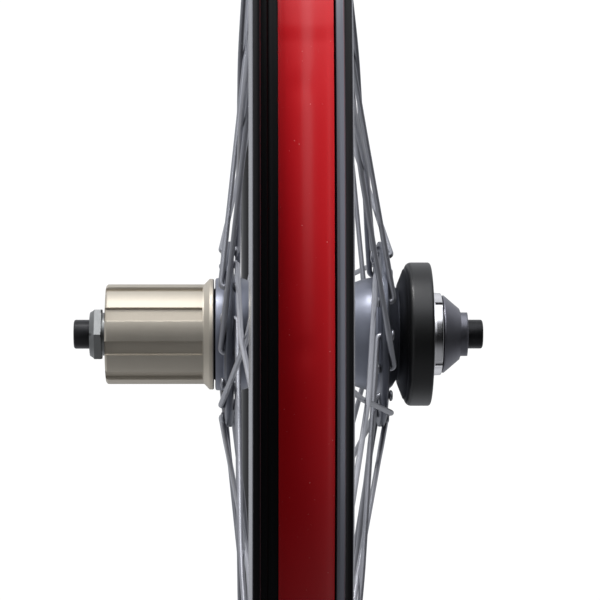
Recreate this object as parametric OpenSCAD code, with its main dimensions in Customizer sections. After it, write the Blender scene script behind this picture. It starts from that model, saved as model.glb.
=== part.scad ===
/* [Rim] */
// Bead seat diameter of the rim
bead_seat_d = 622; // [584:1:630]
// Outside width of the rim across its lips
rim_w = 22.8; // [22.4:0.1:24]
// How much each side stands out further at the foot of its brake track
track_flare = 0.7; // [0:0.1:1]
// Depth of the rim from its lips to its spoke face
rim_depth = 24.5; // [23:0.1:28]
// Diameter of the valve hole
valve_hole_d = 6.5; // [6:0.1:8.5]
// Width of the rim tape
tape_w = 12.8; // [10:0.1:12.8]
// How far the tape lies off the rim's middle
tape_off = 0.9; // [0:0.1:0.9]

/* [Spokes] */
// Number of spoke holes in each flange
holes = 16; // [16:16]
// Crossings of each spoke with its neighbours
crosses = 3; // [3:3]
// Diameter of the spoke at its elbow and thread
spoke_d = 2.0; // [1.8:0.1:2]
// Diameter of the drawn middle of the spoke
spoke_mid_d = 1.8; // [1.5:0.1:1.8]

/* [Hub] */
// Distance over the locknuts, where the frame grips
hub_w = 130; // [130:1:135]
// Diameter of the axle stubs in the dropouts
stub_d = 10; // [9:0.5:10]
// Length of each axle stub beyond its locknut
stub_len = 5.5; // [4:0.1:6]
// Bore of the axle for the quick release skewer
axle_bore_d = 5.4; // [5.1:0.1:6]
// Diameter of the spoke hole circle
flange_pcd = 58; // [54:1:60]
// Diameter of the flanges
flange_d = 64; // [62:1:68]
// Thickness of the flanges
flange_t = 3.2; // [3:0.1:3.4]
// Middle of the drive side flange, from the rim's middle
drive_flange_y = -17; // [-17.4:0.1:-16.8]
// Middle of the other flange, from the rim's middle
far_flange_y = 35.3; // [35:0.1:35.4]
// Diameter of the hub shell's waist
waist_d = 33; // [32:0.5:35]

/* [Freehub] */
// Diameter over the splines
spline_d = 34.4; // [34:0.1:34.8]
// Number of spline grooves
grooves = 9; // [9:9]
// Number of teeth in the ratchet ring, a multiple of 12
ratchet_teeth = 24; // [24:12:24]
// Number of pawls
pawls = 3; // [3:3]

/* [Sensor cap] */
// Outside diameter of the round cap on the far side
cap_d = 49.6; // [49:0.1:52]
// Diameter of the polished ring that holds it
ring_d = 28.6; // [27.6:0.5:29.6]

/* [Hidden] */
$fn = 96;
clear = 0.03;   // radial clearance of pieces that slide over each other

bead_r = bead_seat_d / 2;
lip_r = bead_r + 5.8;
rim_foot_r = lip_r - rim_depth;
half_w = rim_w / 2;
track_y = half_w + track_flare;
well_r = bead_r - 2.4;
tape_t = 0.6;
spoke_bed_t = 2.4;
bed_r = rim_foot_r + spoke_bed_t;

pcd_r = flange_pcd / 2;
pitch = 360 / holes;
lacing = pitch * crosses;
spoke_r = spoke_d / 2;
nipple_r = 2;
nipple_seat_r = bed_r + 0.45;
rim_hole_off = 1;
hole_phase = pitch / 4;         // sets the spoke holes either side of the valve hole
wheel_turn = -pitch * 3 / 4;    // where the valve hole stands, from the top
cross_half = pitch * (2 * crosses - 1) / 2;
cross_at = pcd_r * sin(cross_half)
    / (pcd_r * sin(cross_half) + nipple_seat_r * sin(lacing - cross_half));

half_hub = hub_w / 2;
axle_r = 7.5;
nut_flats = 17;
nut_in = -60.9;
stub_r = stub_d / 2;
thread_r = stub_r - 0.2;
axle_end = half_hub + stub_len;
mouth = 0.4;    // countersink where the axle leaves a locknut or end cap
waist_r = waist_d / 2;
root_r = 19.6;
flange_r = flange_d / 2;

// Bearing tables: width, outside radius, ball circle radius, ball radius, number of balls
BIG = [7, 14, 10.75, 1.98, 12];
THIN = [5, 12, 9.75, 1.19, 15];
drive_bearing_y = -8.5;
far_bearing_y = 36;
freehub_outer_y = -51;
freehub_inner_y = -30;

spline_r = spline_d / 2;
freehub_out = -59.3;
freehub_shoulder = -25.5;
freehub_in = -22.3;
nose_r = 13.2;
nose_end = -10;
shell_drive_end = -21.8;
ring_seat_r = 16.5;
tooth_tip_r = 14;
tooth_root_r = 15.3;
tooth_phase = 27.4;
pawl_pivot_r = 11.4;
pawl_heel_r = 1.5;

cap_r = cap_d / 2;
cap_in = 41;
cap_out = 52.3;
cap_floor = 44.3;
neck_r = 15.9;
neck_end = 43;
lid_y = 50.6;
ring_end = 56.1;
end_cap_y = 56.4;
axle_step_y = 58;

// ---------- helpers ----------

// Turns a profile of [radius, y] points about the axle.
module lathe(points) {
    rotate([-90, 0, 0]) rotate_extrude() polygon(points);
}

// The same for children drawn in the [radius, y] plane.
module lathe_shape() {
    rotate([-90, 0, 0]) rotate_extrude() children();
}

// Extrudes children drawn in the [x, z] plane from y0 to y1.
module along_y(y0, y1) {
    translate([0, y1, 0]) rotate([90, 0, 0]) linear_extrude(y1 - y0) children();
}

// A plain sleeve around the axle.
module sleeve(r_in, r_out, y0, y1) {
    lathe([[r_in, y0], [r_out, y0], [r_out, y1], [r_in, y1]]);
}

// A sleeve with both outside edges broken.
module soft_sleeve(r_in, r_out, y0, y1, c = 0.3) {
    lathe([
        [r_in, y0], [r_out - c, y0], [r_out, y0 + c],
        [r_out, y1 - c], [r_out - c, y1], [r_in, y1]
    ]);
}

// A round bar between two points.
module bar(a, b, r) {
    d = b - a;
    translate(a)
        rotate([0, acos(d[2] / norm(d)), atan2(d[1], d[0])])
            cylinder(r = r, h = norm(d), $fn = 24);
}

// Turns everything that belongs to the lacing and the valve to its place on the wheel.
module turned() {
    rotate([0, wheel_turn, 0]) children();
}

// Places children with +Z along the direction from a to b, at a.
module aim(a, b) {
    d = b - a;
    translate(a) rotate([0, acos(d[2] / norm(d)), atan2(d[1], d[0])]) children();
}

// A point at angle t from the top, turning towards +X, at radius r and side y.
function polar(r, t, y) = [r * sin(t), y, r * cos(t)];
function mix(a, b, t) = a + (b - a) * t;
// Points on a round stretch of a [radius, y] outline.
function arc(c, r, from, to, steps = 4) =
    [for (i = [0 : steps]) c + r * [cos(mix(from, to, i / steps)), sin(mix(from, to, i / steps))]];
// A smooth step from 0 to 1.
function ease(t) = t * t * (3 - 2 * t);
function mirrored(points) = [for (i = [len(points) - 1 : -1 : 0]) [points[i][0], -points[i][1]]];

// ---------- rim and tape ----------

// One half of the rim's skin, from the middle of the tyre well round to the spoke face.
RIM_HALF = concat(
    [[well_r, 0], [well_r, half_w - 4.1]],
    arc([well_r + 0.5, half_w - 4.1], 0.5, 180, 90, 3),
    [[bead_r - 0.2, half_w - 3.5], [bead_r, half_w - 3.2], [bead_r + 0.1, half_w - 1.9]],
    arc([bead_r + 0.5, half_w - 1.9], 0.4, 180, 90, 3),
    [[bead_r + 3.2, half_w - 1.5]],
    arc([lip_r - 1, half_w - 1.05], 0.95, 240, 360, 5),
    arc([lip_r - 0.4, half_w - 0.4], 0.4, 0, 90, 4),
    [[lip_r - 11, track_y], [lip_r - 11.5, track_y - 0.3]],
    [for (i = [1 : 7]) [
        mix(lip_r - 11.5, rim_foot_r + 0.85, i / 8),
        mix(track_y - 0.3, 4.73, pow(i / 8, 1.7))
    ]],
    arc([rim_foot_r + 1.5, 3.6], 1.3, 120, 180, 3),
    [[rim_foot_r, 0]]
);

// One half of the hollow inside it.
CAVITY_HALF = concat(
    [[well_r - 1.4, 0], [well_r - 1.4, half_w - 3.7], [well_r - 0.4, half_w - 1.6]],
    [for (i = [0 : 7]) [
        mix(lip_r - 12.4, bed_r + 0.9, i / 7),
        mix(half_w - 1.4, 5, pow(i / 7, 1.7))
    ]],
    [[bed_r, 4.1], [bed_r, 0]]
);

module rim() {
    color([0.06, 0.06, 0.065])
    difference() {
        lathe_shape() difference() {
            polygon(concat(RIM_HALF, mirrored(RIM_HALF)));
            polygon(concat(CAVITY_HALF, mirrored(CAVITY_HALF)));
        }
        turned() {
            for (i = [0 : 2 * holes - 1]) access_hole(hole_phase + i * pitch / 2);
            for (side = [0, 1], i = [0 : holes - 1]) nipple_hole(side, i);
            valve_bore(valve_hole_d);
        }
    }
}

module valve_bore(d) {
    translate([0, 0, rim_foot_r - 0.05]) cylinder(d = d, h = rim_depth - 1, $fn = 48);
}

// The wide hole in the tyre well that lets a nipple in.
module access_hole(t) {
    aim(polar(well_r - 4, t, 0), polar(well_r + 1, t, 0)) cylinder(r = 4.25, h = 6, $fn = 48);
}

module nipple_hole(side, i) {
    aim(rim_end(side, i), kink(side, i)) translate([0, 0, -1]) cylinder(r = 2.2, h = 6, $fn = 32);
}

module rim_tape() {
    color([0.75, 0.03, 0.05])
    difference() {
        sleeve(well_r + clear, well_r + clear + tape_t, tape_off - tape_w / 2, tape_off + tape_w / 2);
        turned() valve_bore(valve_hole_d + 0.6);
    }
}

// ---------- spokes ----------

// side 0 is the drive side. An even hole's spoke runs outside its flange, leading forward.
function flange_y(side) = side == 0 ? drive_flange_y : far_flange_y;
function outward(side) = side == 0 ? -1 : 1;
function is_outside(i) = i % 2 == 0;
function hub_angle(side, i) = hole_phase + pitch * (i + 1) + side * pitch / 2;
function lean(i) = is_outside(i) ? -1 : 1;
function rim_angle(side, i) = hub_angle(side, i) + lean(i) * lacing;
// An outside spoke stands off its flange, because it leans back over the flange's edge.
function elbow_gap(side, i) = 0.1 + (is_outside(i) ? 0.0115 * abs(flange_y(side)) : 0);
function run_y(side, i) = flange_y(side)
    + outward(side) * (is_outside(i) ? 1 : -1) * (flange_t / 2 + spoke_r + elbow_gap(side, i));
function elbow(side, i) = polar(pcd_r, hub_angle(side, i), run_y(side, i));
function rim_end(side, i) = polar(nipple_seat_r, rim_angle(side, i), outward(side) * rim_hole_off);
// Where the spoke passes its last neighbour: the outside one goes behind the inside one.
function kink(side, i) =
    let (p = mix(elbow(side, i), rim_end(side, i), cross_at),
         middle = mix(flange_y(side), outward(side) * rim_hole_off, cross_at),
         step = (spoke_mid_d / 2 + 0.06) * (is_outside(i) ? -1 : 1))
    [p[0], middle + outward(side) * step, p[2]];

// A headed spoke: shank through the flange, elbow, thick neck, drawn middle and threaded end.
module spoke(side, i) {
    e = elbow(side, i);
    k = kink(side, i);
    n = rim_end(side, i);
    inward = flange_y(side) > e[1] ? 1 : -1;
    head_y = flange_y(side) + inward * (flange_t / 2 + 0.05);
    butt = mix(e, k, 0.25);
    thread = mix(n, k, 0.06);
    bar([e[0], head_y, e[2]], e, spoke_r);
    bar([e[0], head_y, e[2]], [e[0], head_y + inward * 1.3, e[2]], spoke_r + 0.9);
    translate(e) sphere(r = spoke_r + 0.04, $fn = 24);
    bar(e, butt, spoke_r);
    bar(mix(e, k, 0.2), k, spoke_mid_d / 2);
    translate(k) sphere(r = spoke_mid_d / 2 + 0.04, $fn = 24);
    bar(k, mix(n, k, 0.05), spoke_mid_d / 2);
    bar(thread, n, spoke_r);
}

module spokes(side, outside) {
    color([0.1, 0.1, 0.11])
    turned() for (i = [outside ? 0 : 1 : 2 : holes - 1]) spoke(side, i);
}

// A brass nipple: slotted head in the rim, round neck, square foot for the spoke key.
module nipple(side, i) {
    aim(rim_end(side, i), kink(side, i)) difference() {
        union() {
            translate([0, 0, -2.4]) cylinder(r = 3, h = 1.7, $fn = 32);
            translate([0, 0, -0.7]) cylinder(r1 = 3, r2 = nipple_r, h = 0.8, $fn = 32);
            cylinder(r = nipple_r, h = 6, $fn = 32);
            intersection() {
                translate([0, 0, 5.9]) cylinder(r = 2.1, h = 4.6, $fn = 32);
                translate([-1.65, -1.65, 5]) cube([3.3, 3.3, 6]);
            }
        }
        translate([0, 0, -4]) cylinder(r = spoke_r + 0.05, h = 16, $fn = 32);
    }
}

module nipples(side) {
    color([0.12, 0.12, 0.13])
    turned() for (i = [0 : holes - 1]) nipple(side, i);
}

// ---------- hub shell ----------

FLARE = 6;
// Skin of the shell between the flanges: a straight waist that swells to both flange roots.
SHELL_WAIST = concat(
    [for (i = [0 : FLARE]) [
        mix(root_r, waist_r, ease(i / FLARE)),
        mix(drive_flange_y + flange_t / 2, -4, i / FLARE)
    ]],
    [for (i = [0 : FLARE]) [
        mix(waist_r, root_r, ease(i / FLARE)),
        mix(20, far_flange_y - flange_t / 2, i / FLARE)
    ]]
);

// A flange's tapered rim, from one face to the other.
function flange_edge(y) = [
    [pcd_r + 1, y - flange_t / 2], [flange_r - 0.3, y - flange_t / 2 + 0.6],
    [flange_r, y - flange_t / 2 + 0.9], [flange_r, y + flange_t / 2 - 0.9],
    [flange_r - 0.3, y + flange_t / 2 - 0.6], [pcd_r + 1, y + flange_t / 2]
];

module hub_shell() {
    color([0.08, 0.08, 0.09])
    difference() {
        lathe(concat(
            [[root_r - 0.9, shell_drive_end], [root_r - 0.2, shell_drive_end + 0.7],
             [root_r - 0.2, drive_flange_y - flange_t / 2]],
            flange_edge(drive_flange_y),
            SHELL_WAIST,
            flange_edge(far_flange_y),
            [[root_r + 0.4, far_flange_y + flange_t / 2], [root_r - 1.6, far_flange_y + 3.9],
             [neck_r, cap_in - 0.4], [neck_r, neck_end],
             [BIG[1], neck_end], [BIG[1], far_bearing_y], [12.6, far_bearing_y],
             [12.6, far_bearing_y - 2], [13.4, far_bearing_y - 3], [13.4, 2], [12.6, 0.5],
             [12.6, drive_bearing_y + BIG[0]], [BIG[1], drive_bearing_y + BIG[0]],
             [BIG[1], nose_end + 0.5], [ring_seat_r, nose_end + 0.5],
             [ring_seat_r, shell_drive_end]]
        ));
        turned() for (side = [0, 1], i = [0 : holes - 1])
            translate(polar(pcd_r, hub_angle(side, i), flange_y(side) - flange_t))
                rotate([-90, 0, 0]) cylinder(r = spoke_r + 0.25, h = flange_t * 2, $fn = 32);
    }
}

// Hardened ring with inward saw teeth, whose steep faces the pawls push forward.
module ratchet_ring() {
    step = 360 / ratchet_teeth;
    color([0.6, 0.6, 0.62])
    along_y(-20, nose_end + 0.4) difference() {
        circle(r = ring_seat_r - clear);
        polygon([for (i = [0 : ratchet_teeth - 1], top = [0, 1])
            let (t = tooth_phase + step * i + (top ? -0.4 : 0), r = top ? tooth_root_r : tooth_tip_r)
            [r * sin(top ? t + step : t), r * cos(top ? t + step : t)]]);
    }
}

// ---------- bearings ----------

module inner_race(y, b) {
    color([0.75, 0.75, 0.77])
    lathe_shape() difference() {
        translate([axle_r + clear, y])
            square([b[2] - b[3] * 0.6 - axle_r - clear, b[0]]);
        translate([b[2], y + b[0] / 2]) circle(r = b[3] + clear, $fn = 48);
    }
}

module outer_race(y, b) {
    color([0.75, 0.75, 0.77])
    lathe_shape() difference() {
        translate([b[2] + b[3] * 0.6, y]) square([b[1] - clear / 2 - b[2] - b[3] * 0.6, b[0]]);
        translate([b[2], y + b[0] / 2]) circle(r = b[3] + clear, $fn = 48);
    }
}

module balls(y, b) {
    color([0.85, 0.85, 0.87])
    for (i = [0 : b[4] - 1])
        translate(polar(b[2], i * 360 / b[4], y + b[0] / 2)) sphere(r = b[3], $fn = 32);
}

module cage(y, b) {
    half = b[0] / 2 - 1;
    wall = b[3] * 0.3;
    color([0.5, 0.38, 0.2])
    difference() {
        sleeve(b[2] - wall, b[2] + wall, y + b[0] / 2 - half, y + b[0] / 2 + half);
        for (i = [0 : b[4] - 1])
            translate([0, y + b[0] / 2, 0]) rotate([0, i * 360 / b[4], 0])
                translate([0, 0, b[2] - 2]) cylinder(r = b[3] + 0.1, h = 4, $fn = 32);
    }
}

module seals(y, b) {
    color([0.1, 0.1, 0.1])
    for (edge = [y + 0.15, y + b[0] - 0.55])
        sleeve(b[2] - b[3] * 0.6 + 0.06, b[2] + b[3] * 0.6, edge, edge + 0.4);
}

// ---------- axle and what is clamped on it ----------

module axle() {
    color([0.07, 0.07, 0.07])
    lathe([
        [axle_bore_d / 2, -axle_end], [stub_r - 0.6, -axle_end], [stub_r, -axle_end + 0.6],
        [stub_r, -half_hub - 0.15], [thread_r, -half_hub - 0.15],
        [thread_r, -59], [axle_r, -59], [axle_r, drive_bearing_y + BIG[0]],
        [9, drive_bearing_y + BIG[0]], [9, 1], [8.2, 2], [8.2, 33], [9, 34], [9, far_bearing_y],
        [axle_r, far_bearing_y], [axle_r, axle_step_y], [thread_r, axle_step_y],
        [thread_r, half_hub + 0.15], [stub_r, half_hub + 0.15], [stub_r, axle_end - 0.6],
        [stub_r - 0.6, axle_end], [axle_bore_d / 2, axle_end]
    ]);
}

// Hexagon locknut with a coned outer face and a collar that clamps the spacer.
module drive_locknut() {
    color([0.78, 0.78, 0.78]) {
        intersection() {
            lathe([
                [thread_r + clear, mouth - half_hub], [stub_r + 0.15, -half_hub], [7.4, -half_hub],
                [10, -half_hub + 1.7], [10, nut_in - 0.3], [9.4, nut_in], [thread_r + clear, nut_in]
            ]);
            along_y(-half_hub - 1, nut_in + 1) circle(d = nut_flats / cos(30), $fn = 6);
        }
        sleeve(thread_r + clear, 7.4, nut_in - 0.2, -59.02);
    }
}

module far_end_cap() {
    color([0.3, 0.3, 0.32])
    difference() {
        lathe([
            [axle_r + clear, end_cap_y], [13.4, end_cap_y], [13.4, end_cap_y + 0.6],
            [8.9, half_hub - 2.7], [8.7, half_hub - 2.3], [8.7, half_hub - 0.4],
            [8.3, half_hub], [stub_r + 0.15, half_hub], [thread_r + clear, half_hub - mouth],
            [thread_r + clear, axle_step_y + clear],
            [axle_r + clear, axle_step_y + clear]
        ]);
        for (m = [0, 1]) mirror([0, 0, m])
            translate([-10, half_hub - 2.5, 7.5]) cube([20, 4, 5]);
    }
}

// ---------- freehub ----------

module freehub_body() {
    color([0.72, 0.68, 0.6])
    difference() {
        lathe([
            [15.2, freehub_out], [spline_r - 0.7, freehub_out], [spline_r, freehub_out + 0.7],
            [spline_r, freehub_shoulder], [spline_r + 1.9, freehub_shoulder + 1.7],
            [spline_r + 1.9, freehub_in - 0.3], [spline_r + 1.6, freehub_in],
            [nose_r, freehub_in], [nose_r, nose_end],
            [8.9, nose_end], [8.9, freehub_inner_y + THIN[0] + 1],
            [10.6, freehub_inner_y + THIN[0] + 1], [10.6, freehub_inner_y + THIN[0]],
            [THIN[1], freehub_inner_y + THIN[0]], [THIN[1], freehub_outer_y - 0.1],
            [12.7, freehub_outer_y - 0.1], [12.7, freehub_outer_y - 1.1],
            [THIN[1], freehub_outer_y - 1.1], [THIN[1], -53], [15.2, -53]
        ]);
        spline_grooves();
        for (i = [0 : pawls - 1]) rotate([0, i * 360 / pawls, 0]) pawl_pocket();
    }
}

// Nine straight grooves, one of them narrow, open at the outer end.
module spline_grooves() {
    for (i = [0 : grooves - 1]) rotate([0, 25.8 + i * 360 / grooves, 0]) {
        w = i == 0 ? 3.2 : 4.8;
        translate([-w / 2, freehub_out - 1, spline_r - 1.15])
            cube([w, freehub_shoulder - freehub_out + 0.4, 4]);
    }
}

module pawl_pocket() {
    along_y(-19.6, nose_end + 1) {
        translate([0, pawl_pivot_r]) circle(r = pawl_heel_r + 0.06, $fn = 48);
        polygon([[0.4, 9.85], [6.4, 10.1], [7.2, 14.2], [-0.7, 14.2], [-0.7, 12.5], [0.4, 12.5]]);
    }
}

// Round heel that turns in the pocket and an arm whose tip stands in a tooth.
module pawl(i) {
    color([0.55, 0.55, 0.57])
    rotate([0, i * 360 / pawls, 0]) {
        along_y(-19.4, nose_end - 0.1) translate([0, pawl_pivot_r])
            circle(r = pawl_heel_r, $fn = 48);
        along_y(-19.4, nose_end - 0.1)
            polygon([[0.9, 10.3], [5.55, 12.25], [5.965, 13.654], [0.3, 12.8]]);
    }
}

// Thin leaves under the pawls, pressed flat.
module pawl_springs() {
    color([0.65, 0.65, 0.66])
    for (i = [0 : pawls - 1]) rotate([0, i * 360 / pawls, 0]) along_y(-17, -13)
        polygon([[2.2, 9.98], [5.9, 10.14], [5.9, 10.38], [2.2, 10.2]]);
}

module freehub_seal() {
    color([0.12, 0.12, 0.12])
    lathe([
        [nose_r + clear, -22.25], [ring_seat_r - 0.9, -22.25], [ring_seat_r - 0.15, -21.2],
        [ring_seat_r - 0.6, -20.6], [nose_r + clear, -20.6]
    ]);
}

// Open snap ring that keeps the outer bearing in.
module freehub_circlip() {
    color([0.35, 0.35, 0.36])
    along_y(freehub_outer_y - 1.05, freehub_outer_y - 0.15) difference() {
        circle(r = 12.6);
        circle(r = 11.2);
        translate([-2.5, -20]) square([5, 20]);
    }
}

// ---------- sensor cap ----------

module sensor_cap() {
    color([0.03, 0.03, 0.03])
    difference() {
        lathe([
            [neck_r + clear, cap_in], [neck_r + 1.5, cap_in], [cap_r - 2.4, cap_in + 2],
            [cap_r - 0.6, cap_in + 2.7], [cap_r, cap_in + 3.4], [cap_r, cap_out - 0.8],
            [cap_r - 0.8, cap_out], [cap_r - 1.6, cap_out], [cap_r - 1.6, cap_floor + 1.1],
            [22.3, cap_floor], [neck_r + clear, cap_floor]
        ]);
        lathe_shape() translate([neck_r + 0.68, 42]) circle(r = 0.68, $fn = 32);
    }
}

module cap_o_ring() {
    color([0.2, 0.05, 0.04])
    lathe_shape() translate([neck_r + 0.68, 42]) circle(r = 0.62, $fn = 32);
}

// Outer face of the cap, with the sleeve that keeps the cells off the axle.
module sensor_cap_lid() {
    color([0.05, 0.05, 0.05])
    lathe([
        [9.2, 43.4], [10.1, 43.4], [10.1, lid_y], [cap_r - 1.7, lid_y],
        [cap_r - 1.7, cap_out - 0.3], [9.2, cap_out - 0.3]
    ]);
}

// Polished ring with four key slots.
module cap_lock_ring() {
    color([0.85, 0.85, 0.86])
    difference() {
        lathe([
            [9.2, cap_out - 0.25], [ring_d / 2 - 0.4, cap_out - 0.25], [ring_d / 2, cap_out + 0.2],
            [ring_d / 2 - 0.1, ring_end - 0.7], [ring_d / 2 - 0.6, ring_end], [9.2, ring_end]
        ]);
        for (a = [45 : 90 : 315]) rotate([0, a, 0])
            translate([-1.2, cap_out + 1.2, ring_d / 2 - 1.6]) cube([2.4, 4, 4]);
    }
}

module circuit_board() {
    color([0.05, 0.35, 0.15])
    sleeve(10.6, 22.6, 49, 50.4);
}

cell_angles = [60, 180, 300];
module button_cells() {
    color([0.8, 0.8, 0.8])
    for (t = cell_angles) {
        translate(polar(16.3, t, cap_floor + 0.1)) rotate([-90, 0, 0])
            cylinder(r = 5.8, h = 3.1, $fn = 64);
        translate(polar(16.3, t, cap_floor + 3.1)) rotate([-90, 0, 0])
            cylinder(r = 4.9, h = 0.8, $fn = 64);
    }
}

// Sprung strips that carry current from the cells to the board.
module cell_contacts() {
    color([0.8, 0.65, 0.3])
    for (t = cell_angles) rotate([0, t, 0])
        translate([-1.5, 48.3, 13]) cube([3, 0.6, 7]);
}

axle();
drive_locknut();
color([0.3, 0.3, 0.3]) soft_sleeve(axle_r + clear, 9.4, -58.9, freehub_outer_y);  // drive_spacer
color([0.3, 0.3, 0.3])  // freehub_spacer
        soft_sleeve(axle_r + clear, 8.8, freehub_outer_y + THIN[0], freehub_inner_y);
color([0.3, 0.3, 0.3])  // hub_spacer
        soft_sleeve(axle_r + clear, 8.5, freehub_inner_y + THIN[0], drive_bearing_y);
color([0.3, 0.3, 0.3]) soft_sleeve(axle_r + clear, 8.7, far_bearing_y + BIG[0], end_cap_y);  // far_spacer
far_end_cap();

inner_race(drive_bearing_y, BIG);  // drive_bearing_inner_race
inner_race(far_bearing_y, BIG);  // far_bearing_inner_race
inner_race(freehub_outer_y, THIN);  // freehub_outer_bearing_inner_race
inner_race(freehub_inner_y, THIN);  // freehub_inner_bearing_inner_race
balls(drive_bearing_y, BIG);  // drive_bearing_balls
balls(far_bearing_y, BIG);  // far_bearing_balls
balls(freehub_outer_y, THIN);  // freehub_outer_bearing_balls
balls(freehub_inner_y, THIN);  // freehub_inner_bearing_balls
cage(drive_bearing_y, BIG);  // drive_bearing_cage
cage(far_bearing_y, BIG);  // far_bearing_cage
cage(freehub_outer_y, THIN);  // freehub_outer_bearing_cage
cage(freehub_inner_y, THIN);  // freehub_inner_bearing_cage
outer_race(drive_bearing_y, BIG);  // drive_bearing_outer_race
outer_race(far_bearing_y, BIG);  // far_bearing_outer_race
outer_race(freehub_outer_y, THIN);  // freehub_outer_bearing_outer_race
outer_race(freehub_inner_y, THIN);  // freehub_inner_bearing_outer_race
seals(drive_bearing_y, BIG);  // drive_bearing_seals
seals(far_bearing_y, BIG);  // far_bearing_seals
seals(freehub_outer_y, THIN);  // freehub_outer_bearing_seals
seals(freehub_inner_y, THIN);  // freehub_inner_bearing_seals

hub_shell();
ratchet_ring();
sensor_cap();
sensor_cap_lid();
cap_lock_ring();
cap_o_ring();
circuit_board();
button_cells();
cell_contacts();

spokes(0, true);  // drive_outside_spokes
spokes(0, false);  // drive_inside_spokes
spokes(1, true);  // far_outside_spokes
spokes(1, false);  // far_inside_spokes
nipples(0);  // drive_nipples
nipples(1);  // far_nipples
rim();
rim_tape();

freehub_body();
freehub_circlip();
freehub_seal();
pawl_springs();
pawl(0);  // pawl_1
pawl(1);  // pawl_2
pawl(2);  // pawl_3
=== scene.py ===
import math

import bmesh
import bpy
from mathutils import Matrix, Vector, noise


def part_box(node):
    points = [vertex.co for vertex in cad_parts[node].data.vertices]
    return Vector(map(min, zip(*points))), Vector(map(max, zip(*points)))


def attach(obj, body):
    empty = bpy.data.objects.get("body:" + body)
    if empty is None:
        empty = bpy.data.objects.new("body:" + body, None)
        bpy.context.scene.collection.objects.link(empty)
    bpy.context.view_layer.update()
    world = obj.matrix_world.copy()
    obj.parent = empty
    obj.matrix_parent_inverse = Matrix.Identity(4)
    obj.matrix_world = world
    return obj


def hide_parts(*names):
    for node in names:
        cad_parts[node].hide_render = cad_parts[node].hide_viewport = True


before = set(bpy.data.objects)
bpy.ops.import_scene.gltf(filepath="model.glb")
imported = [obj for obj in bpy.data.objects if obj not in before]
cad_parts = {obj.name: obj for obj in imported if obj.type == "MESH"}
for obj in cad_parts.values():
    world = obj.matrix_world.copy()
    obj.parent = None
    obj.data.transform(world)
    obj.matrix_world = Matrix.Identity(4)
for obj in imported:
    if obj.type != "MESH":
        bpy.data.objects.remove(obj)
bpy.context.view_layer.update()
scene = bpy.context.scene

# ---------------------------------------------------------------- stand and light
# The wheel stands on a round sheet of pale paper in a white room, lit softly from above, behind
# and the freehub's side. The near end of the room is dim, so that black metal stays black. A
# gridded box over the wheel lights the tape, and a tall box beside it lights the hub.

MM = 0.001
EYE = (0.889, -0.0154, 0.0118)
ASIDE = 1.47  # degrees by which the view turns away from the wheel's own plane
lens = bpy.data.cameras.new("lens")
lens.lens = 154.4
lens.sensor_width = 36
lens.clip_start = 0.02
lens.clip_end = 50
camera = bpy.data.objects.new("camera", lens)
camera.location = EYE
camera.rotation_euler = (math.radians(90), 0, math.radians(90 - ASIDE))
scene.collection.objects.link(camera)
scene.camera = camera


def softbox(name, place, target, size, power, tint, spread=180):
    """A flat lamp aimed at a target, whose beam opens by spread degrees."""
    light = bpy.data.lights.new(name, "AREA")
    light.spread = math.radians(spread)
    light.shape = "RECTANGLE"
    light.size, light.size_y = size
    light.energy = power
    light.color = tint
    box = bpy.data.objects.new(name, light)
    box.location = place
    aim = Vector(target) - Vector(place)
    box.rotation_euler = aim.to_track_quat("-Z", "Y").to_euler()
    scene.collection.objects.link(box)
    return box


grid_box = softbox(
    "grid_box", (0.43, -0.28, 1.12), (0.31, 0, 0.03),
    size=(0.26, 0.26), power=1.1, tint=(1, 0.98, 0.97), spread=24,
)
softbox(
    "side_box", (1.29, -0.69, 0.12), (0.31, 0, 0),
    size=(0.2, 1.0), power=0.6, tint=(0.93, 0.96, 1),
)


class Signal:
    """The output of a shader node, which Python's own signs work on."""

    def __init__(self, finish, socket):
        self.finish = finish
        self.socket = socket

    def maths(self, operation, *others):
        return self.finish.node("Math", {"operation": operation}, [self, *others])

    def __add__(self, other):
        return self.maths("ADD", other)

    def __sub__(self, other):
        return self.maths("SUBTRACT", other)

    def __mul__(self, other):
        return self.maths("MULTIPLY", other)

    def __pow__(self, other):
        return self.maths("POWER", other)

    def __rsub__(self, other):
        return self.finish.node("Math", {"operation": "SUBTRACT"}, [other, self])

    def __neg__(self):
        return self * -1

    def __abs__(self):
        return self.maths("ABSOLUTE")

    __radd__ = __add__
    __rmul__ = __mul__

    def over(self, start, end):
        """0 below start, 1 above end, smooth between; a falling step if end is below start."""
        settings = {"interpolation_type": "SMOOTHSTEP"}
        low, high = (start, end) if start < end else (end, start)
        step = self.finish.node("MapRange", settings, [self, low, high])
        return step if start < end else 1 - step


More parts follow.
